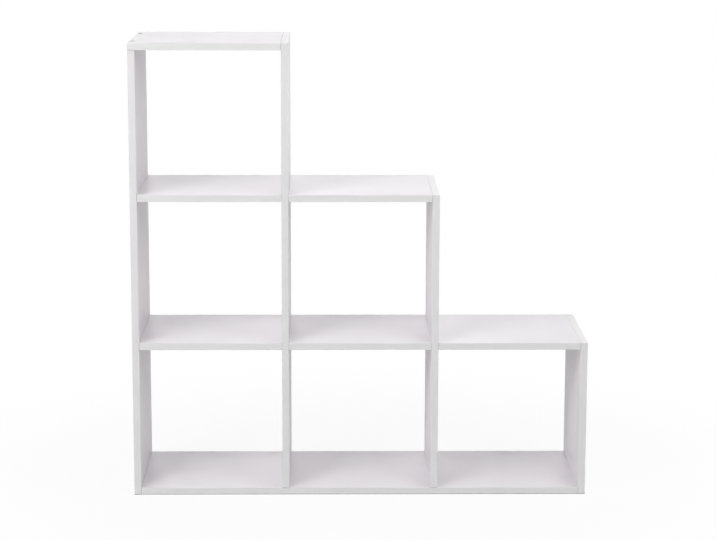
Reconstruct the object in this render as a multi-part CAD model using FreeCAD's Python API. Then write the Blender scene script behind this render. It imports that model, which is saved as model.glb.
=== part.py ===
import FreeCAD, Part
import math
import os
from collections import namedtuple

from FreeCAD import Placement, Rotation, Vector

# A free-standing step bookshelf: open compartments in columns that lose one level at a time.
# Millimetres, +Z up, origin on the floor under the middle, front towards -Y.

# Carcass
compartment_width = 305.0
compartment_height = 305.0
shelf_depth = 300.0
board_thickness = 15.0

# Board ends stand this far off the faces that they butt against
joint_gap = 0.2

# Edge banding on the front and back edges and on the ends that stay in view
band_thickness = 1.0
band_round_share = 0.8

# Fixings stand this far in from the front and back edges, in holes with this radial clearance
fixing_inset = 50.0
fit_clearance = 0.1

# Connector screw: countersunk head in one board's face, thread in the other board's end
screw_length = 50.0
screw_thread_diameter = 6.0
screw_neck_diameter = 7.0
screw_head_diameter = 10.0
screw_head_rim = 0.8
screw_head_recess = 0.2
screw_tip_length = 3.0
screw_tip_share = 0.6
hex_socket_width = 4.0
hex_socket_depth = 3.0

# Cam disc: sits in a blind pocket in the underside of a shelf and draws a headed bolt in
cam_diameter = 14.8
cam_setback = 34.0
cam_pocket_cover = 2.5
cam_end_gap = 0.5
cam_thin_wall = 1.4
cam_eccentricity = 1.0
cam_cross_length = 8.0
cam_cross_width = 1.6
cam_cross_depth = 1.4

# Double-ended cam bolt: runs through a divider into the shelves on both sides of it
bolt_shaft_diameter = 7.0
bolt_neck_diameter = 4.0
bolt_head_diameter = 6.4
bolt_head_length = 2.4
bolt_shoulder_gap = 0.5

# Dowel at the middle of each joint
dowel_diameter = 8.0
dowel_chamfer = 1.0
dowel_end_depth = 20.0
dowel_face_cover = 5.0
dowel_crossing_depth = 15.0

# Cutters run this far past the faces that they open
cut_overrun = 1.0

full_turn = 360.0
half_turn = 180.0
right_angle = 90.0
hexagon_sides = 6

# Upright boards stand in columns from the left, and flat boards lie in levels from the floor
left_column, tall_column, middle_column, right_column = range(4)
bottom_level, low_level, middle_level, top_level = range(4)

column_pitch = compartment_width + board_thickness
level_pitch = compartment_height + board_thickness
overall_width = right_column * column_pitch + board_thickness
front = -shelf_depth / 2
back = shelf_depth / 2
core_front = front + band_thickness
core_back = back - band_thickness
fixing_rows = (front + fixing_inset, back - fixing_inset)

x_axis = Vector(1, 0, 0)
y_axis = Vector(0, 1, 0)
z_axis = Vector(0, 0, 1)

Panel = namedtuple("Panel", "x_low x_high z_low z_high upright banded_end")


def upright_panel(column, z_low, z_high, banded_end=None):
    """Board on edge between two heights, in a column."""
    x_low = column * column_pitch - overall_width / 2
    return Panel(x_low, x_low + board_thickness, z_low, z_high, True, banded_end)


def level_panel(level, x_low, x_high, banded_end=None):
    """Flat board between two places along the width, at a level."""
    z_low = level * level_pitch
    return Panel(x_low, x_high, z_low, z_low + board_thickness, False, banded_end)


def shelf_between(level, left, right):
    """Flat board from one upright to another, its ends just clear of them."""
    return level_panel(level, left.x_high + joint_gap, right.x_low - joint_gap)


def level_top(level):
    """Height of the upper face of the flat boards at a level."""
    return level * level_pitch + board_thickness


def lay_out_panels():
    """All boards of the carcass by name, butted so that each covers the next one's end."""
    floor = 0
    divider_foot = level_top(bottom_level) + joint_gap
    under_top = level_top(top_level) - board_thickness - joint_gap
    left = upright_panel(left_column, floor, under_top)
    tall = upright_panel(tall_column, divider_foot, level_top(top_level), "top")
    middle = upright_panel(middle_column, divider_foot, level_top(middle_level), "top")
    right = upright_panel(right_column, floor, level_top(low_level), "top")
    return {
        "left_side_panel": left,
        "tall_divider": tall,
        "middle_divider": middle,
        "right_side_panel": right,
        "bottom_panel": shelf_between(bottom_level, left, right),
        "lower_left_shelf": shelf_between(low_level, left, tall),
        "lower_middle_shelf": shelf_between(low_level, tall, middle),
        "low_step_top": shelf_between(low_level, middle, right),
        "upper_shelf": shelf_between(middle_level, left, tall),
        "middle_step_top": shelf_between(middle_level, tall, middle),
        "top_panel": level_panel(top_level, left.x_low, tall.x_low - joint_gap, "left"),
    }


# Joint name, the board that the screws pass through, the board whose end they hold
screw_joints = (
    ("top_left", "top_panel", "left_side_panel"),
    ("upper_shelf", "left_side_panel", "upper_shelf"),
    ("lower_shelf", "left_side_panel", "lower_left_shelf"),
    ("bottom_left", "left_side_panel", "bottom_panel"),
    ("top_right", "tall_divider", "top_panel"),
    ("middle_step", "middle_divider", "middle_step_top"),
    ("low_step", "right_side_panel", "low_step_top"),
    ("bottom_right", "right_side_panel", "bottom_panel"),
    ("tall_divider_foot", "bottom_panel", "tall_divider"),
    ("middle_divider_foot", "bottom_panel", "middle_divider"),
)

# Crossing name, the divider, the shelf on its left, the shelf on its right
crossings = (
    ("upper_crossing", "tall_divider", "upper_shelf", "middle_step_top"),
    ("lower_left_crossing", "tall_divider", "lower_left_shelf", "lower_middle_shelf"),
    ("lower_right_crossing", "middle_divider", "lower_middle_shelf", "low_step_top"),
)


def middle_of(low, high):
    return (low + high) / 2


def turned(section):
    """Solid turned about Z from a half section of (radius, height) corners."""
    corners = [Vector(radius, 0, height) for radius, height in section]
    profile = Part.Face(Part.makePolygon(corners + corners[:1]))
    return profile.revolve(Vector(0, 0, 0), z_axis, full_turn)


def placed(shape, point, direction):
    """Copy of a shape made along +Z from the origin, moved to a point and turned to a direction."""
    copy = shape.copy()
    copy.Placement = Placement(point, Rotation(z_axis, direction))
    return copy


def board_core(panel):
    """The board without its banding, before it is bored."""
    x_low = panel.x_low
    z_high = panel.z_high
    if panel.banded_end == "left":
        x_low = x_low + band_thickness
    if panel.banded_end == "top":
        z_high = z_high - band_thickness
    size = Vector(panel.x_high - x_low, core_back - core_front, z_high - panel.z_low)
    return Part.makeBox(size.x, size.y, size.z, Vector(x_low, core_front, panel.z_low))


def band_strip(corner, along, across, outward):
    """Strip of banding on one edge, with its two outer arrises rounded."""
    rounding = band_thickness * band_round_share
    side = Vector(across).normalize()
    far = corner + across
    wall = outward * (band_thickness - rounding)
    face = outward * band_thickness
    bulge = rounding / math.sqrt(2)
    near_middle = corner + side * (rounding - bulge) + outward * (band_thickness - rounding + bulge)
    far_middle = far - side * (rounding - bulge) + outward * (band_thickness - rounding + bulge)
    near_face = corner + side * rounding + face
    far_face = far - side * rounding + face
    outline = Part.Wire([
        Part.LineSegment(corner, far).toShape(),
        Part.LineSegment(far, far + wall).toShape(),
        Part.Arc(far + wall, far_middle, far_face).toShape(),
        Part.LineSegment(far_face, near_face).toShape(),
        Part.Arc(near_face, near_middle, corner + wall).toShape(),
        Part.LineSegment(corner + wall, corner).toShape(),
    ])
    return Part.Face(outline).extrude(along)


def edge_band(panel):
    """Banding strips of one board: front, back and any end that stays in view."""
    front_corner = Vector(panel.x_low, core_front, panel.z_low)
    back_corner = Vector(panel.x_low, core_back, panel.z_low)
    if panel.upright:
        along = z_axis * (panel.z_high - panel.z_low)
        across = x_axis * board_thickness
    else:
        along = x_axis * (panel.x_high - panel.x_low)
        across = z_axis * board_thickness
    strips = [
        band_strip(front_corner, along, across, -y_axis),
        band_strip(back_corner, along, across, y_axis),
    ]
    inward = y_axis * (core_back - core_front)
    if panel.banded_end == "top":
        corner = Vector(panel.x_low, core_front, panel.z_high - band_thickness)
        strips.append(band_strip(corner, inward, across, z_axis))
    if panel.banded_end == "left":
        corner = Vector(panel.x_low + band_thickness, core_front, panel.z_low)
        strips.append(band_strip(corner, inward, across, -x_axis))
    return strips


def connector_screw():
    """Screw along +Z, its head's flat top at the origin."""
    head = screw_head_diameter / 2
    neck = screw_neck_diameter / 2
    thread = screw_thread_diameter / 2
    neck_end = board_thickness - screw_head_recess
    blank = turned([
        (0, 0),
        (head, 0),
        (head, screw_head_rim),
        (neck, screw_head_rim + head - neck),
        (neck, neck_end),
        (thread, neck_end),
        (thread, screw_length - screw_tip_length),
        (thread * screw_tip_share, screw_length),
        (0, screw_length),
    ])
    reach = hex_socket_width / 2 / math.cos(math.pi / hexagon_sides)
    turns = [2 * math.pi * side / hexagon_sides for side in range(hexagon_sides)]
    corners = [Vector(reach * math.cos(turn), reach * math.sin(turn), 0) for turn in turns]
    socket = Part.Face(Part.makePolygon(corners + corners[:1])).extrude(z_axis * hex_socket_depth)
    return blank.cut(socket)


def screw_hole():
    """Countersunk hole for a connector screw, with its mouth at the origin."""
    head = screw_head_diameter / 2 + fit_clearance
    neck = screw_neck_diameter / 2 + fit_clearance
    thread = screw_thread_diameter / 2 + fit_clearance
    seat = screw_head_recess + screw_head_rim
    bottom = screw_head_recess + screw_length + fit_clearance
    return turned([
        (0, -cut_overrun),
        (head, -cut_overrun),
        (head, seat),
        (neck, seat + head - neck),
        (neck, board_thickness),
        (thread, board_thickness),
        (thread, bottom),
        (0, bottom),
    ])


def dowel(length):
    """Dowel along +Z from the origin, chamfered at both ends."""
    radius = dowel_diameter / 2
    tip = radius - dowel_chamfer
    return turned([
        (0, 0),
        (tip, 0),
        (radius, dowel_chamfer),
        (radius, length - dowel_chamfer),
        (tip, length),
        (0, length),
    ])


def dowel_hole(length):
    """Hole for a dowel of this length, with clearance round it and at both ends."""
    radius = dowel_diameter / 2 + fit_clearance
    return Part.makeCylinder(radius, length + 2 * fit_clearance, Vector(0, 0, -fit_clearance))


def cam_height():
    return board_thickness - cam_pocket_cover - cam_end_gap


def cam_cavity_radius():
    return cam_diameter / 2 - cam_thin_wall - cam_eccentricity


def cam_cavity_reach(offset):
    """From the cam's axis to the cavity's wall on the bolt's side, this far off the bolt's line."""
    return math.sqrt(cam_cavity_radius() ** 2 - offset ** 2) - cam_eccentricity


def cam_disc():
    """Cam along +Z, its driven face at the origin, with the bolt coming in from +X."""
    radius = cam_diameter / 2
    height = cam_height()
    bolt_level = board_thickness / 2
    reach = radius + cut_overrun
    head = bolt_head_diameter / 2 + fit_clearance
    neck = bolt_neck_diameter / 2 + fit_clearance
    bolt_axis = Vector(0, 0, bolt_level)
    cavity_floor = Vector(-cam_eccentricity, 0, bolt_level - head)
    cavity = Part.makeCylinder(cam_cavity_radius(), height, cavity_floor)
    claw_floor = Vector(0, 0, bolt_level - neck)
    claw = Part.makeCylinder(reach, 2 * neck, claw_floor, z_axis, half_turn)
    neck_path = Part.makeCylinder(neck, reach, bolt_axis, x_axis)
    entry = Part.makeCylinder(head, reach, bolt_axis, -x_axis)
    cutters = [cavity, claw, neck_path, entry]
    arm_corner = Vector(-cam_cross_length / 2, -cam_cross_width / 2, -cut_overrun)
    arm = Part.makeBox(cam_cross_length, cam_cross_width, cam_cross_depth + cut_overrun, arm_corner)
    for turn in (0, right_angle):
        cutters.append(arm.rotated(Vector(0, 0, 0), z_axis, turn))
    return Part.makeCylinder(radius, height).cut(cutters)


def cam_pocket():
    """Blind pocket for a cam, upward from the origin."""
    depth = board_thickness - cam_pocket_cover + cut_overrun
    return Part.makeCylinder(cam_diameter / 2 + fit_clearance, depth, Vector(0, 0, -cut_overrun))


def cam_bolt():
    """Double-ended bolt along Z, its middle at the origin and its heads inside the cams."""
    to_cam = board_thickness / 2 + cam_setback
    head = bolt_head_diameter / 2
    neck = bolt_neck_diameter / 2
    shaft = bolt_shaft_diameter / 2
    shaft_end = to_cam - cam_diameter / 2 - bolt_shoulder_gap
    neck_end = to_cam - cam_cavity_reach(neck) + fit_clearance
    head_start = to_cam - cam_cavity_reach(head) + fit_clearance
    head_end = head_start + bolt_head_length
    upper_half = [
        (shaft, shaft_end),
        (neck, shaft_end),
        (neck, neck_end),
        (head, head_start),
        (head, head_end),
        (0, head_end),
    ]
    lower_half = [(radius, -height) for radius, height in reversed(upper_half)]
    return turned(lower_half + upper_half)


def cam_bolt_hole():
    """Straight hole for a cam bolt, from one cam's axis to the other's."""
    to_cam = board_thickness / 2 + cam_setback
    radius = bolt_shaft_diameter / 2 + fit_clearance
    return Part.makeCylinder(radius, 2 * to_cam, Vector(0, 0, -to_cam))


def screw_line(through, held):
    """Point on the outer face of the screwed board, and the direction into the held board's end."""
    if through.upright:
        level = middle_of(held.z_low, held.z_high)
        if held.x_low >= through.x_high:
            return Vector(through.x_low, 0, level), x_axis
        return Vector(through.x_high, 0, level), -x_axis
    column = middle_of(held.x_low, held.x_high)
    if held.z_low >= through.z_high:
        return Vector(column, 0, through.z_low), z_axis
    return Vector(column, 0, through.z_high), -z_axis


def join_with_screws(name, through, held, panels, borings, nodes):
    """Two screws and a blind dowel; their holes go to both boards."""
    face, direction = screw_line(panels[through], panels[held])
    screws = []
    holes = []
    for row in fixing_rows:
        mouth = face + y_axis * row
        screws.append(placed(connector_screw(), mouth + direction * screw_head_recess, direction))
        holes.append(placed(screw_hole(), mouth, direction))
    dowel_start = face + direction * dowel_face_cover
    dowel_length = board_thickness - dowel_face_cover + joint_gap + dowel_end_depth
    holes.append(placed(dowel_hole(dowel_length), dowel_start, direction))
    nodes[name + "_screws"] = screws
    nodes[name + "_dowel"] = [placed(dowel(dowel_length), dowel_start, direction)]
    borings[through].extend(holes)
    borings[held].extend(holes)


def join_with_cams(name, divider, left, right, panels, borings, nodes):
    """Two double-ended bolts, four cams and a through dowel, where shelves meet at a divider."""
    upright = panels[divider]
    shelf = panels[left]
    level = middle_of(shelf.z_low, shelf.z_high)
    middle = Vector(middle_of(upright.x_low, upright.x_high), 0, level)
    left_axis = Vector(upright.x_low - cam_setback, 0, shelf.z_low)
    right_axis = Vector(upright.x_high + cam_setback, 0, shelf.z_low)
    facing_left = cam_disc().rotated(Vector(0, 0, 0), z_axis, half_turn)
    bolts = []
    left_cams = []
    right_cams = []
    for row in fixing_rows:
        along = y_axis * row
        bolts.append(placed(cam_bolt(), middle + along, x_axis))
        left_cams.append(cam_disc().translated(left_axis + along))
        right_cams.append(facing_left.translated(right_axis + along))
        hole = placed(cam_bolt_hole(), middle + along, x_axis)
        for board in (divider, left, right):
            borings[board].append(hole)
        borings[left].append(cam_pocket().translated(left_axis + along))
        borings[right].append(cam_pocket().translated(right_axis + along))
    dowel_reach = board_thickness / 2 + joint_gap + dowel_crossing_depth
    dowel_start = middle - x_axis * dowel_reach
    dowel_length = 2 * dowel_reach
    dowel_boring = placed(dowel_hole(dowel_length), dowel_start, x_axis)
    for board in (divider, left, right):
        borings[board].append(dowel_boring)
    nodes[name + "_bolts"] = bolts
    nodes[name + "_left_cams"] = left_cams
    nodes[name + "_right_cams"] = right_cams
    nodes[name + "_dowel"] = [placed(dowel(dowel_length), dowel_start, x_axis)]


def build():
    """Every node of the bookshelf, as a name and its list of solids."""
    panels = lay_out_panels()
    borings = {name: [] for name in panels}
    hardware = {}
    for name, through, held in screw_joints:
        join_with_screws(name, through, held, panels, borings, hardware)
    for name, divider, left, right in crossings:
        join_with_cams(name, divider, left, right, panels, borings, hardware)
    nodes = {}
    for name, panel in panels.items():
        nodes[name] = [board_core(panel).cut(borings[name])]
        nodes[name + "_edge_band"] = edge_band(panel)
    nodes.update(hardware)
    return nodes


def export(nodes):
    os.makedirs("parts", exist_ok=True)
    for name, solids in nodes.items():
        shape = solids[0] if len(solids) == 1 else Part.makeCompound(solids)
        shape.exportStep("parts/" + name + ".step")


export(build())
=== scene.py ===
"""White staircase bookshelf: finishes, fixings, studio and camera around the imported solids, in metres."""

import math

import bpy
from mathutils import Matrix, Vector


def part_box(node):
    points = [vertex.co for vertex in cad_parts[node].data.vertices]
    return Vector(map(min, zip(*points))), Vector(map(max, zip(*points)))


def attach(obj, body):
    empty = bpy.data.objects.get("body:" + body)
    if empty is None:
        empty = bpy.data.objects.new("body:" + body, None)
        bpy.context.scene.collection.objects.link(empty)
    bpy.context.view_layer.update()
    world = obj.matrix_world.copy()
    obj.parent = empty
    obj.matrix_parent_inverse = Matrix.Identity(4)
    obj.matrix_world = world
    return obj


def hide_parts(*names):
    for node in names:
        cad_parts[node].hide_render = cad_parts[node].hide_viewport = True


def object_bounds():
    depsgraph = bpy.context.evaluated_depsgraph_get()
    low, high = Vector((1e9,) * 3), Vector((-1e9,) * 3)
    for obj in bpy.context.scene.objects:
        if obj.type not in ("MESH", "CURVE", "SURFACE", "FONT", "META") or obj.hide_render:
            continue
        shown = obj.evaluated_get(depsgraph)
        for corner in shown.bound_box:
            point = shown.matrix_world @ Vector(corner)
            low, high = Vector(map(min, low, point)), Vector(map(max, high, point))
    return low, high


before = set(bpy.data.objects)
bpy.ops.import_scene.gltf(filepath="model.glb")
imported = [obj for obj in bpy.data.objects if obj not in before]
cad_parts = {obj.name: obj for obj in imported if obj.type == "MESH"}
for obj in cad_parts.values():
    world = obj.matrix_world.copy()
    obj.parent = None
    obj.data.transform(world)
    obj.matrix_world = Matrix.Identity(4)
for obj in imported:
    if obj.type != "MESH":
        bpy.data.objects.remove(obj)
cad_low, cad_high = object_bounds()

# Sizes that the finishes follow
BAND_THICKNESS = 0.001
GLUE_LINE = 0.00012
SEAM_REACH = 0.0024

# Joints that cam bolts draw tight, where the painted seam shade is weaker than at the screwed ones
CROSSINGS = ("upper_crossing_bolts", "lower_left_crossing_bolts", "lower_right_crossing_bolts")

# Finishes, as linear colours
MELAMINE = (0.846, 0.817, 0.847, 1)
MELAMINE_DULL = (0.834, 0.805, 0.835, 1)
BANDING = (0.838, 0.832, 0.834, 1)
BANDING_DULL = (0.824, 0.818, 0.820, 1)
GLUE = (0.52, 0.50, 0.47, 1)
# Dark colour of the shade painted into the mouths of the joints
PAINTED_SEAM_SHADE = (0.080, 0.075, 0.070, 1)
CHIP_PALE = (0.56, 0.45, 0.33, 1)
CHIP_DARK = (0.30, 0.21, 0.14, 1)
CHIP_GLUE = (0.16, 0.10, 0.06, 1)
BLACK_STEEL = (0.017, 0.017, 0.018, 1)
BLACK_STEEL_RUBBED = (0.028, 0.028, 0.029, 1)
ZINC_PLATE = (0.60, 0.60, 0.62, 1)
ZINC_PLATE_DULL = (0.46, 0.46, 0.48, 1)
CAST_ZINC = (0.50, 0.50, 0.51, 1)
CAST_ZINC_DULL = (0.36, 0.36, 0.37, 1)
BEECH = (0.66, 0.46, 0.29, 1)
BEECH_FLECK = (0.44, 0.27, 0.15, 1)
PAPER_WHITE = (0.90, 0.90, 0.90, 1)
PURE_WHITE = (1, 1, 1, 1)

# Kinds of node group sockets
FLOAT = "NodeSocketFloat"
COLOUR = "NodeSocketColor"
VECTOR = "NodeSocketVector"

# Sockets of a Mix node by their places: it has a pair of inputs for each kind of value
MIX_SHARE = 0
MIX_NUMBERS = (2, 3)
MIX_NUMBER_OUT = 0
MIX_COLOURS = (6, 7)
MIX_COLOUR_OUT = 2


def give(tree, made, inputs):
    """Gives each input of a node a plain value or another node's output."""
    for key, value in inputs.items():
        if isinstance(value, bpy.types.NodeSocket):
            tree.links.new(value, made.inputs[key])
        else:
            made.inputs[key].default_value = value


def node(tree, kind, settings=None, inputs=None):
    """Adds a shader node with its settings and inputs."""
    made = tree.nodes.new("ShaderNode" + kind)
    for name, value in (settings or {}).items():
        setattr(made, name, value)
    give(tree, made, inputs or {})
    return made


def maths(tree, operation, first, second=0.0, third=0.0):
    """One step of arithmetic."""
    made = node(tree, "Math", {"operation": operation}, {0: first, 1: second, 2: third})
    return made.outputs[0]


def ramp(tree, value, low, high, to_low=0.0, to_high=1.0):
    """Smooth step of a value from one range to another."""
    made = node(tree, "MapRange", {"interpolation_type": "SMOOTHSTEP"}, {
        "Value": value,
        "From Min": low,
        "From Max": high,
        "To Min": to_low,
        "To Max": to_high,
    })
    return made.outputs["Result"]


def tinted(tree, share, first, second):
    """Colour that goes from the first to the second as the share goes from 0 to 1."""
    start, end = MIX_COLOURS
    made = node(tree, "Mix", {"data_type": "RGBA"}, {MIX_SHARE: share, start: first, end: second})
    return made.outputs[MIX_COLOUR_OUT]


def blended(tree, share, first, second):
    """Number that goes from the first to the second as the share goes from 0 to 1."""
    start, end = MIX_NUMBERS
    made = node(tree, "Mix", None, {MIX_SHARE: share, start: first, end: second})
    return made.outputs[MIX_NUMBER_OUT]


def speckle(tree, place, scale, detail=2.0, roughness=0.5):
    """Soft noise with this many repeats in a metre."""
    made = node(tree, "TexNoise", None, {
        "Vector": place,
        "Scale": scale,
        "Detail": detail,
        "Roughness": roughness,
    })
    return made.outputs["Fac"]


def surface(tree, fact):
    """Place or direction of the point that is shaded."""
    return node(tree, "NewGeometry").outputs[fact]


def effect(name, outputs, inputs=()):
    """New node group with named sockets: its tree, what it is given and its output node."""
    tree = bpy.data.node_groups.new(name, "ShaderNodeTree")
    for label, kind in inputs:
        tree.interface.new_socket(label, in_out="INPUT", socket_type=kind)
    for label, kind in outputs:
        tree.interface.new_socket(label, in_out="OUTPUT", socket_type=kind)
    given = tree.nodes.new("NodeGroupInput").outputs
    return tree, given, tree.nodes.new("NodeGroupOutput")


def use(tree, group, inputs=None):
    """Places a node group in a material, with its own values."""
    made = node(tree, "Group", {"node_tree": group}, inputs)
    return made.outputs


def make_pressed_skin():
    """Fine stipple of a pressed film: height, and slow changes of shade and gloss."""
    pore_scale = 2600.0
    pore_share = 0.35
    shade_scale = 7.0
    shade_span = (0.30, 0.72)
    smear_scale = 26.0
    smear_span = (0.35, 0.68)
    tree, given, out = effect(
        "pressed_skin",
        [("Height", FLOAT), ("Shade", FLOAT), ("Roughness", FLOAT)],
        [("Stipple Scale", FLOAT), ("Roughness Low", FLOAT), ("Roughness High", FLOAT)],
    )
    place = surface(tree, "Position")
    stipple = speckle(tree, place, given["Stipple Scale"], roughness=0.55)
    pores = speckle(tree, place, pore_scale, detail=1.0)
    patches = speckle(tree, place, shade_scale, detail=3.0, roughness=0.6)
    smears = speckle(tree, place, smear_scale, detail=4.0, roughness=0.65)
    give(tree, out, {
        "Height": maths(tree, "MULTIPLY_ADD", pores, pore_share, stipple),
        "Shade": ramp(tree, patches, *shade_span),
        "Roughness": ramp(tree, smears, *smear_span, given["Roughness Low"], given["Roughness High"]),
    })
    return tree


def make_raw_chipboard():
    """Cut particle board: pale and dark chips in glue, as colour and height."""
    chip_scale = 420.0
    chip_share = 0.6
    bend_scale = 320.0
    bend_reach = 0.0018
    fibre_scale = 1500.0
    fibre_share = 0.5
    glue_width = 0.09
    tree, _, out = effect("raw_chipboard", [("Color", COLOUR), ("Height", FLOAT)])
    place = surface(tree, "Position")
    bend = node(tree, "TexNoise", None, {"Vector": place, "Scale": bend_scale})
    sway = {0: bend.outputs["Color"], "Scale": bend_reach}
    drift = node(tree, "VectorMath", {"operation": "SCALE"}, sway).outputs[0]
    bent = node(tree, "VectorMath", {"operation": "ADD"}, {0: place, 1: drift}).outputs[0]
    cells = {"Vector": bent, "Scale": chip_scale}
    chips = node(tree, "TexVoronoi", None, cells).outputs["Color"]
    to_gap = node(tree, "TexVoronoi", {"feature": "DISTANCE_TO_EDGE"}, cells).outputs["Distance"]
    chip_tone = node(tree, "SeparateColor", None, {0: chips}).outputs[0]
    fibre = speckle(tree, place, fibre_scale, detail=3.0, roughness=0.6)
    tone = maths(tree, "MULTIPLY_ADD", fibre, fibre_share, maths(tree, "MULTIPLY", chip_tone, chip_share))
    chip = ramp(tree, to_gap, 0.0, glue_width)
    wood = tinted(tree, tone, CHIP_DARK, CHIP_PALE)
    give(tree, out, {
        "Color": tinted(tree, chip, CHIP_GLUE, wood),
        "Height": maths(tree, "MULTIPLY", chip, tone),
    })
    return tree


def make_faced_side():
    """Share of melamine on a board: all of its two broad faces, and none of its cut ends and bores."""
    squareness = (0.80, 0.95)
    tree, given, out = effect("faced_side", [("Share", FLOAT)], [("Across", VECTOR)])
    facing = surface(tree, "True Normal")
    along = node(tree, "VectorMath", {"operation": "DOT_PRODUCT"}, {0: facing, 1: given["Across"]})
    share = ramp(tree, maths(tree, "ABSOLUTE", along.outputs["Value"]), *squareness)
    give(tree, out, {"Share": share})
    return tree


def make_glue_line():
    """Hairline of glue where the front and back banding meets its board."""
    waver_scale = 140.0
    line_start = 0.5 * GLUE_LINE
    line_end = 1.5 * GLUE_LINE
    board_edge = cad_high.y - BAND_THICKNESS
    tree, _, out = effect("glue_line", [("Share", FLOAT)])
    place = surface(tree, "Position")
    depth = node(tree, "SeparateXYZ", None, {0: place}).outputs["Y"]
    from_joint = maths(tree, "SUBTRACT", maths(tree, "ABSOLUTE", depth), board_edge)
    waver = maths(tree, "MULTIPLY", speckle(tree, place, waver_scale, detail=3.0), GLUE_LINE)
    near = maths(tree, "ADD", maths(tree, "ABSOLUTE", from_joint), waver)
    give(tree, out, {"Share": ramp(tree, near, line_start, line_end, 1.0, 0.0)})
    return tree


def from_crossing(tree, farthest):
    """Distance from the nearest crossing as the front shows it, up to a farthest value."""
    flatten = {0: surface(tree, "Position"), 1: (1.0, 0.0, 1.0)}
    place = node(tree, "VectorMath", {"operation": "MULTIPLY"}, flatten).outputs[0]
    nearest = farthest
    for name in CROSSINGS:
        low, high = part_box(name)
        middle = (low + high) / 2
        ends = {0: place, 1: (middle.x, 0.0, middle.z)}
        away = node(tree, "VectorMath", {"operation": "DISTANCE"}, ends).outputs["Value"]
        nearest = maths(tree, "MINIMUM", away, nearest)
    return nearest


def make_seam_shade():
    """Share of painted shade in the mouths of the butt joints on the front and back edges, by how closed in
    the surface is.
    """
    rays = 12
    openness = (0.6, 1.0)
    forwardness = (0.05, 0.25)
    crossing_size = 0.03
    past_crossing = 0.06
    crossing_shade_strength = 0.4
    tree, _, out = effect("seam_shade", [("Share", FLOAT)])
    # Ambient occlusion: darker where the surface is closed in, which paints shade into the colour
    open_share = node(tree, "AmbientOcclusion", {"samples": rays}, {"Distance": SEAM_REACH}).outputs["AO"]
    facing = node(tree, "SeparateXYZ", None, {0: surface(tree, "True Normal")}).outputs["Y"]
    forward = ramp(tree, maths(tree, "ABSOLUTE", facing), *forwardness)
    shade = maths(tree, "MULTIPLY", ramp(tree, open_share, *openness, 1.0, 0.0), forward)
    # The painted shade is weaker near the cam-bolt crossings and full at the screwed joints
    away = from_crossing(tree, past_crossing)
    shade_strength = ramp(tree, away, crossing_size, past_crossing, crossing_shade_strength, 1.0)
    give(tree, out, {"Share": maths(tree, "MULTIPLY", shade, shade_strength)})
    return tree


def make_plated_grain():
    """Grain of plated or cast metal: height, and patches of shade and roughness."""
    patch_scale = 420.0
    shade_span = (0.36, 0.66)
    gloss_span = (0.30, 0.70)
    tree, given, out = effect(
        "plated_grain",
        [("Height", FLOAT), ("Shade", FLOAT), ("Roughness", FLOAT)],
        [("Grain Scale", FLOAT), ("Roughness Low", FLOAT), ("Roughness High", FLOAT)],
    )
    place = surface(tree, "Position")
    patches = speckle(tree, place, patch_scale, detail=3.0, roughness=0.6)
    give(tree, out, {
        "Height": speckle(tree, place, given["Grain Scale"], detail=3.0, roughness=0.6),
        "Shade": ramp(tree, patches, *shade_span),
        "Roughness": ramp(tree, patches, *gloss_span, given["Roughness High"], given["Roughness Low"]),
    })
    return tree


pressed_skin = make_pressed_skin()
raw_chipboard = make_raw_chipboard()
faced_side = make_faced_side()
glue_line = make_glue_line()
seam_shade = make_seam_shade()
plated_grain = make_plated_grain()


def finish_of(name, settings):
    """New material: its tree and its Principled shader with plain socket values set."""
    material = bpy.data.materials.new(name)
    material.use_nodes = True
    shader = material.node_tree.nodes["Principled BSDF"]
    give(material.node_tree, shader, settings)
    return material, material.node_tree, shader


def relief(tree, height, strength, distance):
    """Bumps of a surface, as a normal."""
    bump = node(tree, "Bump", None, {"Strength": strength, "Distance": distance, "Height": height})
    return bump.outputs["Normal"]


def faced_board(name, across):
    """White melamine on the faces across the board's thickness, bare chipboard at its cuts."""
    raw_roughness = 0.9
    material, tree, shader = finish_of(name, {"Specular IOR Level": 0.4})
    skin = use(tree, pressed_skin, {"Stipple Scale": 900.0, "Roughness Low": 0.44, "Roughness High": 0.50})
    core = use(tree, raw_chipboard)
    faced = use(tree, faced_side, {"Across": across})["Share"]
    line = use(tree, glue_line)["Share"]
    film = tinted(tree, skin["Shade"], MELAMINE_DULL, MELAMINE)
    face = tinted(tree, line, film, GLUE)
    height = blended(tree, faced, core["Height"], skin["Height"])
    give(tree, shader, {
        "Base Color": tinted(tree, faced, core["Color"], face),
        "Roughness": blended(tree, faced, raw_roughness, skin["Roughness"]),
        "Normal": relief(tree, height, strength=0.5, distance=0.0002),
    })
    return material


def banding_strip(name):
    """Thin white plastic banding, a little smoother than the faces, with shade painted into its colour in
    the joint mouths.
    """
    material, tree, shader = finish_of(name, {"Specular IOR Level": 0.42})
    skin = use(tree, pressed_skin, {"Stipple Scale": 1300.0, "Roughness Low": 0.43, "Roughness High": 0.50})
    line = use(tree, glue_line)["Share"]
    seam = use(tree, seam_shade)["Share"]
    plastic = tinted(tree, skin["Shade"], BANDING_DULL, BANDING)
    glued = tinted(tree, line, plastic, GLUE)
    give(tree, shader, {
        # Shade painted in the joint mouths: the seam share darkens the banding's colour
        "Base Color": tinted(tree, seam, glued, PAINTED_SEAM_SHADE),
        "Roughness": skin["Roughness"],
        "Normal": relief(tree, skin["Height"], strength=0.35, distance=0.00015),
    })
    return material


def metal_finish(name, settings, colours, grain, bumps):
    """Plated, blackened or cast metal: two colours in patches, its own grain and the grain's bumps."""
    material, tree, shader = finish_of(name, settings)
    skin = use(tree, plated_grain, grain)
    give(tree, shader, {
        "Base Color": tinted(tree, skin["Shade"], *colours),
        "Roughness": skin["Roughness"],
        "Normal": relief(tree, skin["Height"], strength=bumps, distance=0.0001),
    })
    return material


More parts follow.
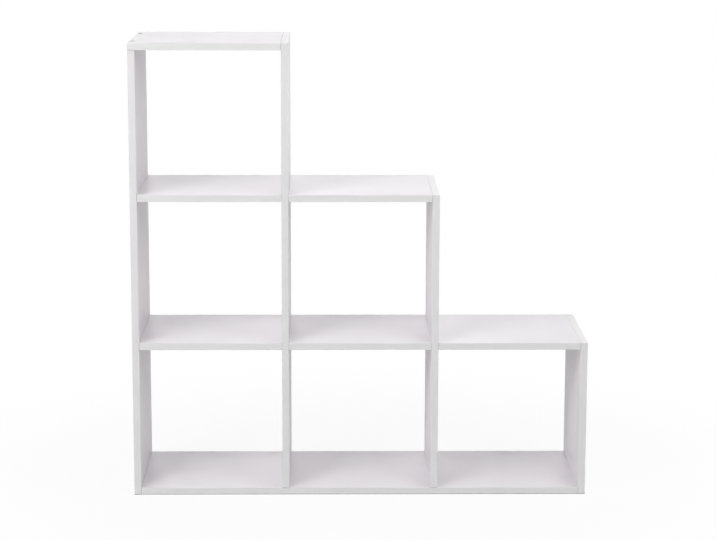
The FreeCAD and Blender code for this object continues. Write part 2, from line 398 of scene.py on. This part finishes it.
def bare_beech(name):
    """Bare beech with short flecks along the grain."""
    fleck_scale = 1800.0
    fleck_stretch = (1.0, 1.0, 0.2)
    fleck_span = (0.52, 0.72)
    shade_scale = 160.0
    shade_span = (0.3, 0.8)
    deepest_shade = 0.5
    gloss_span = (0.3, 0.7)
    roughness = (0.55, 0.75)
    material, tree, shader = finish_of(name, {"Specular IOR Level": 0.3})
    place = node(tree, "TexCoord").outputs["Object"]
    stretched = node(tree, "Mapping", None, {"Vector": place, "Scale": fleck_stretch}).outputs[0]
    fleck = speckle(tree, stretched, fleck_scale, detail=3.0, roughness=0.6)
    shade = ramp(tree, speckle(tree, place, shade_scale), *shade_span, 0.0, deepest_shade)
    wood = tinted(tree, ramp(tree, fleck, *fleck_span), BEECH, BEECH_FLECK)
    give(tree, shader, {
        "Base Color": tinted(tree, shade, wood, BEECH_FLECK),
        "Roughness": ramp(tree, fleck, *gloss_span, *roughness),
        "Normal": relief(tree, fleck, strength=0.3, distance=0.0002),
    })
    return material


upright_board = faced_board("upright_board", (1.0, 0.0, 0.0))
level_board = faced_board("level_board", (0.0, 0.0, 1.0))
white_banding = banding_strip("white_banding")
screw_steel = metal_finish(
    "black_screw_steel",
    {"Metallic": 0.0, "Specular IOR Level": 0.2},
    (BLACK_STEEL, BLACK_STEEL_RUBBED),
    {"Grain Scale": 3200.0, "Roughness Low": 0.45, "Roughness High": 0.60},
    bumps=0.1,
)
bolt_steel = metal_finish(
    "zinc_plated_bolt",
    {"Metallic": 1.0},
    (ZINC_PLATE_DULL, ZINC_PLATE),
    {"Grain Scale": 5200.0, "Roughness Low": 0.28, "Roughness High": 0.42},
    bumps=0.12,
)
cam_zinc = metal_finish(
    "cast_zinc_cam",
    {"Metallic": 1.0},
    (CAST_ZINC_DULL, CAST_ZINC),
    {"Grain Scale": 2600.0, "Roughness Low": 0.42, "Roughness High": 0.58},
    bumps=0.35,
)
dowel_beech = bare_beech("beech_dowel")

UPRIGHTS = ("left_side_panel", "tall_divider", "middle_divider", "right_side_panel")
BY_ENDING = {
    "_edge_band": white_banding,
    "_screws": screw_steel,
    "_bolts": bolt_steel,
    "_cams": cam_zinc,
    "_dowel": dowel_beech,
}


def finish_for(name):
    """Material of a node, by the ending of its name; the boards have none of the endings."""
    for ending, material in BY_ENDING.items():
        if name.endswith(ending):
            return material
    return upright_board if name in UPRIGHTS else level_board


for name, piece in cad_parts.items():
    piece.data.materials.clear()
    piece.data.materials.append(finish_for(name))

# Connector screw, from its head's flat top: radii and depths
SCREW_AROUND = 36
SCREW_HEAD = 0.0050
SCREW_HEAD_RIM = 0.0008
SCREW_HEAD_EASE = 0.0002
SCREW_NECK = 0.0035
SCREW_NECK_END = 0.0142
SCREW_LENGTH = 0.0500
SCREW_TIP_START = 0.0470
SCREW_TIP = 0.0018
SCREW_TIP_EASE = 0.0003
SOCKET_HALF = 0.0020
SOCKET_DEPTH = 0.0030
SOCKET_MOUTH = 0.0025
SOCKET_MOUTH_DEPTH = 0.0003

# Thread: its coils, and one pitch of its section as shares of the pitch and of the ridge's height
THREAD_CORE = 0.0022
THREAD_CREST = 0.0030
THREAD_PITCH = 0.0030
THREAD_START = 0.0157
THREAD_LEAD = 0.0003
THREAD_TURNS = 9
THREAD_FADE_IN = 0.6
THREAD_FADE_OUT = 0.9
THREAD_SECTION = ((0.0, 0.0), (0.13, 1.0), (0.19, 1.0), (0.32, 0.0))

# Direction that each joint's two screws are driven in, from the face that shows their heads
INTO_RIGHT = Vector((1, 0, 0))
INTO_LEFT = Vector((-1, 0, 0))
DOWNWARD = Vector((0, 0, -1))
UPWARD = Vector((0, 0, 1))
SCREW_DIRECTIONS = {
    "bottom_left_screws": INTO_RIGHT,
    "lower_shelf_screws": INTO_RIGHT,
    "upper_shelf_screws": INTO_RIGHT,
    "bottom_right_screws": INTO_LEFT,
    "low_step_screws": INTO_LEFT,
    "middle_step_screws": INTO_LEFT,
    "top_right_screws": INTO_LEFT,
    "top_left_screws": DOWNWARD,
    "tall_divider_foot_screws": UPWARD,
    "middle_divider_foot_screws": UPWARD,
}

# Dowel with straight flutes that let the glue out: each flute's section as shares of its depth
DOWEL_RADIUS = 0.0040
DOWEL_TIP = 0.0030
DOWEL_CHAMFER = 0.0010
FLUTE_COUNT = 20
FLUTE_DEPTH = 0.0003
FLUTE_SECTION = (0.0, 0.0, 1.0, 1.0)

# Faces of the turned pieces that meet at more than this stay crisp
CRISP_ANGLE = math.radians(30)


class Turning:
    """Closed skin of a turned piece along +Z, made ring by ring from its first face to its last."""

    def __init__(self, around):
        self.around = around
        self.points = []
        self.faces = []

    def add(self, radius, height):
        """Puts one point on each ray; radius and height are one value, or one for each ray."""
        first = len(self.points)
        for ray in range(self.around):
            turn = 2 * math.pi * ray / self.around
            reach = radius[ray] if isinstance(radius, list) else radius
            rise = height[ray] if isinstance(height, list) else height
            self.points.append((reach * math.cos(turn), reach * math.sin(turn), rise))
        return list(range(first, first + self.around))

    def bridge(self, lower, upper):
        """Joins two rings with a face at each ray."""
        for ray in range(self.around):
            after = (ray + 1) % self.around
            self.faces.append((lower[ray], lower[after], upper[after], upper[ray]))

    def loft(self, sections, last=None):
        """Bridges rings of (radius, height) in turn, from the last ring made if there is one."""
        for radius, height in sections:
            made = self.add(radius, height)
            if last:
                self.bridge(last, made)
            else:
                self.faces.append(tuple(reversed(made)))
            last = made
        return last

    def close(self, last):
        """Ends the skin with a flat face."""
        self.faces.append(tuple(last))


def hexagon_reach(half_width):
    """Distance from the axis to a hexagon's side, on each ray of a screw."""
    sixth = math.pi / 3
    turns = [2 * math.pi * ray / SCREW_AROUND for ray in range(SCREW_AROUND)]
    return [half_width / math.cos(turn % sixth - sixth / 2) for turn in turns]


def wind_thread(screw, start):
    """Winds a ridge round the core from a flat ring, and ends it in a flat ring, in one skin."""
    around = screw.around
    steps = len(THREAD_SECTION)
    lines = []
    for line in range(THREAD_TURNS * steps + 1):
        coil, step = divmod(line, steps)
        along, ridge = THREAD_SECTION[step]
        reach = []
        rise = []
        for ray in range(around):
            wound = coil + ray / around
            left = max(THREAD_TURNS - 1 / around - wound, 0.0)
            fade = min(wound / THREAD_FADE_IN, left / THREAD_FADE_OUT, 1.0)
            reach.append(THREAD_CORE + (THREAD_CREST - THREAD_CORE) * ridge * fade)
            rise.append(THREAD_START + THREAD_PITCH * (along + wound))
        lines.append(screw.add(reach, rise))
    end = screw.add(THREAD_CORE, rise[-1] + THREAD_LEAD)
    for lower, upper in zip([start] + lines, lines + [end]):
        for ray in range(around - 1):
            screw.faces.append((lower[ray], lower[ray + 1], upper[ray + 1], upper[ray]))
    seam = around - 1
    for line in range(len(lines) - 1 - steps):
        lower, upper = lines[line], lines[line + 1]
        lower_after, upper_after = lines[line + steps], lines[line + steps + 1]
        screw.faces.append((lower[seam], lower_after[0], upper_after[0], upper[seam]))
    first_coil = [line[0] for line in lines[:steps + 1]]
    screw.faces.append((start[seam], start[0], *first_coil, lines[0][seam]))
    last_coil = [line[seam] for line in lines[-1:-steps - 2:-1]]
    screw.faces.append((lines[-1][0], end[0], end[seam], *last_coil))
    return end


def turn_screw():
    """Connector screw along +Z: hex socket, countersunk head, plain neck, coarse thread and blunt tip."""
    screw = Turning(SCREW_AROUND)
    socket = hexagon_reach(SOCKET_HALF)
    start = screw.loft([
        (socket, SOCKET_DEPTH),
        (socket, SOCKET_MOUTH_DEPTH),
        (SOCKET_MOUTH, 0.0),
        (SCREW_HEAD - SCREW_HEAD_EASE, 0.0),
        (SCREW_HEAD, SCREW_HEAD_EASE),
        (SCREW_HEAD, SCREW_HEAD_RIM),
        (SCREW_NECK, SCREW_HEAD_RIM + SCREW_HEAD - SCREW_NECK),
        (SCREW_NECK, SCREW_NECK_END),
        (THREAD_CORE, THREAD_START - THREAD_LEAD),
    ])
    end = wind_thread(screw, start)
    screw.close(screw.loft([
        (THREAD_CORE, SCREW_TIP_START),
        (SCREW_TIP, SCREW_LENGTH - SCREW_TIP_EASE),
        (SCREW_TIP - SCREW_TIP_EASE, SCREW_LENGTH),
    ], end))
    return screw


def turn_dowel(length):
    """Fluted dowel along +Z, chamfered at both ends."""
    dowel = Turning(FLUTE_COUNT * len(FLUTE_SECTION))
    fluted = [DOWEL_RADIUS - FLUTE_DEPTH * depth for depth in FLUTE_SECTION] * FLUTE_COUNT
    dowel.close(dowel.loft([
        (DOWEL_TIP, 0.0),
        (fluted, DOWEL_CHAMFER),
        (fluted, length - DOWEL_CHAMFER),
        (DOWEL_TIP, length),
    ]))
    return dowel


def fit_piece(name, turning, places, material, stands_for):
    """Makes one piece from a turning, repeated at each place, and fits it for its node."""
    points = []
    faces = []
    back = places[0].inverted()
    for place in places:
        first = len(points)
        points += [back @ place @ Vector(point) for point in turning.points]
        faces += [tuple(first + index for index in face) for face in turning.faces]
    mesh = bpy.data.meshes.new(name)
    mesh.from_pydata(points, [], faces)
    mesh.shade_smooth()
    mesh.set_sharp_from_angle(angle=CRISP_ANGLE)
    mesh.materials.append(material)
    piece = bpy.data.objects.new(name, mesh)
    piece.matrix_world = places[0]
    bpy.context.scene.collection.objects.link(piece)
    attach(piece, "root")
    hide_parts(stands_for)


def standing_along(origin, direction):
    """Place of a turned piece whose own +Z points in a direction."""
    return Matrix.Translation(origin) @ direction.to_track_quat("Z", "Y").to_matrix().to_4x4()


def fit_screws():
    """Two threaded screws for each node of screws, at their places in its box."""
    turning = turn_screw()
    for name, direction in SCREW_DIRECTIONS.items():
        low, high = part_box(name)
        head = (low + high) / 2 - direction * SCREW_LENGTH / 2
        rows = (low.y + SCREW_HEAD, high.y - SCREW_HEAD)
        places = [standing_along((head.x, row, head.z), direction) for row in rows]
        fit_piece(name + "_threaded", turning, places, screw_steel, name)


def fit_dowels():
    """A fluted dowel for each node of a dowel, along the longer way of its box."""
    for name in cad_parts:
        if name.endswith("_dowel"):
            low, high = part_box(name)
            size = high - low
            direction = INTO_RIGHT if size.x > size.z else UPWARD
            length = max(size.x, size.z)
            places = [standing_along((low + high) / 2 - direction * length / 2, direction)]
            fit_piece(name + "_fluted", turn_dowel(length), places, dowel_beech, name)


fit_screws()
fit_dowels()

# Studio floor, and how its white rises from the shelf's shadow to the far ground
FLOOR_REACH = 20.0
FLOOR_DROP = 0.0002
NEAR_GLOW = 0.92
FAR_GLOW = 1.0
GLOW_START = 0.4
GLOW_END = 1.2

# Softboxes, all turned to the middle of the shelf: place, width and watts
SHELF_MIDDLE = Vector((0.0, 0.0, 0.45))
SOFTBOXES = {
    "left_front_softbox": ((-2.6, -3.6, 2.4), 2.0, 61),
    "left_softbox": ((-3.5, -1.5, 1.8), 2.0, 21),
    "near_left_front_softbox": ((-1.5, -1.8, 2.0), 1.2, 16),
    "near_right_front_softbox": ((1.5, -1.8, 2.0), 1.2, 18),
    "right_over_softbox": ((1.4, -0.5, 3.0), 1.5, 17),
    "right_side_softbox": ((3.5, 0.3, 1.0), 2.0, 24),
    "left_back_softbox": ((-3.0, 2.5, 2.4), 2.0, 21),
    "right_back_softbox": ((3.0, 2.5, 2.4), 2.0, 23),
    "back_softbox": ((0.0, 4.0, 2.0), 2.5, 29),
}

# Camera, fitted to the edges of the shelf in the photograph: focal length in pixels, turn in degrees
PHOTO_WIDTH = 716
FOCAL_PIXELS = 2213
SENSOR = 36.0
CAMERA_PLACE = (-0.070, -4.771, 1.359)
CAMERA_TURN = (79.40, -0.12, -0.78)


def in_sight(tree):
    """Share that is 1 for the camera's rays and for those that reflections and glass send on."""
    path = node(tree, "LightPath").outputs
    direct = maths(tree, "MAXIMUM", path["Is Camera Ray"], path["Is Glossy Ray"])
    return maths(tree, "MAXIMUM", direct, path["Is Transmission Ray"])


def white_paper():
    """Studio paper: white in sight but for the shelf's soft shadow, and clear from below."""
    material = bpy.data.materials.new("studio_paper")
    material.use_nodes = True
    tree = material.node_tree
    tree.nodes.clear()
    ground = node(tree, "NewGeometry").outputs
    paper = node(tree, "BsdfDiffuse", None, {"Color": PAPER_WHITE})
    glow = node(tree, "Emission", None, {"Color": PURE_WHITE, "Strength": 1.0})
    clear = node(tree, "BsdfTransparent")
    away = node(tree, "VectorMath", {"operation": "LENGTH"}, {0: ground["Position"]}).outputs["Value"]
    white = ramp(tree, away, GLOW_START, GLOW_END, NEAR_GLOW, FAR_GLOW)
    share = maths(tree, "MULTIPLY", in_sight(tree), white)
    lit = node(tree, "MixShader", None, {0: share, 1: paper.outputs[0], 2: glow.outputs[0]})
    sides = {0: ground["Backfacing"], 1: lit.outputs[0], 2: clear.outputs[0]}
    both = node(tree, "MixShader", None, sides)
    node(tree, "OutputMaterial", None, {"Surface": both.outputs[0]})
    return material


def make_floor():
    """Wide white sheet under the shelf."""
    corners = [
        (-FLOOR_REACH, -FLOOR_REACH, -FLOOR_DROP),
        (FLOOR_REACH, -FLOOR_REACH, -FLOOR_DROP),
        (FLOOR_REACH, FLOOR_REACH, -FLOOR_DROP),
        (-FLOOR_REACH, FLOOR_REACH, -FLOOR_DROP),
    ]
    mesh = bpy.data.meshes.new("studio_floor")
    mesh.from_pydata(corners, [], [(0, 1, 2, 3)])
    mesh.materials.append(white_paper())
    floor = bpy.data.objects.new("studio_floor", mesh)
    bpy.context.scene.collection.objects.link(floor)


def make_surroundings():
    """White surroundings that are in sight and shed no light."""
    world = bpy.data.worlds.new("studio_surroundings")
    bpy.context.scene.world = world
    world.use_nodes = True
    tree = world.node_tree
    give(tree, tree.nodes["Background"], {"Color": PURE_WHITE, "Strength": in_sight(tree)})


def hang_softbox(name, place, width, watts):
    """Square studio light, out of the camera's sight."""
    lamp = bpy.data.lights.new(name, "AREA")
    lamp.energy = watts
    lamp.size = width
    holder = bpy.data.objects.new(name, lamp)
    bpy.context.scene.collection.objects.link(holder)
    holder.location = place
    holder.rotation_euler = (SHELF_MIDDLE - Vector(place)).to_track_quat("-Z", "Y").to_euler()
    holder.visible_camera = False


def place_camera():
    """Camera at the photograph's viewing angle."""
    lens = bpy.data.cameras.new("photo_camera")
    lens.sensor_width = SENSOR
    lens.lens = FOCAL_PIXELS * SENSOR / PHOTO_WIDTH
    camera = bpy.data.objects.new("photo_camera", lens)
    camera.location = CAMERA_PLACE
    camera.rotation_euler = [math.radians(angle) for angle in CAMERA_TURN]
    bpy.context.scene.collection.objects.link(camera)
    bpy.context.scene.camera = camera


make_floor()
make_surroundings()
for name, facts in SOFTBOXES.items():
    hang_softbox(name, *facts)
place_camera()
bpy.context.scene.view_settings.view_transform = "Standard"
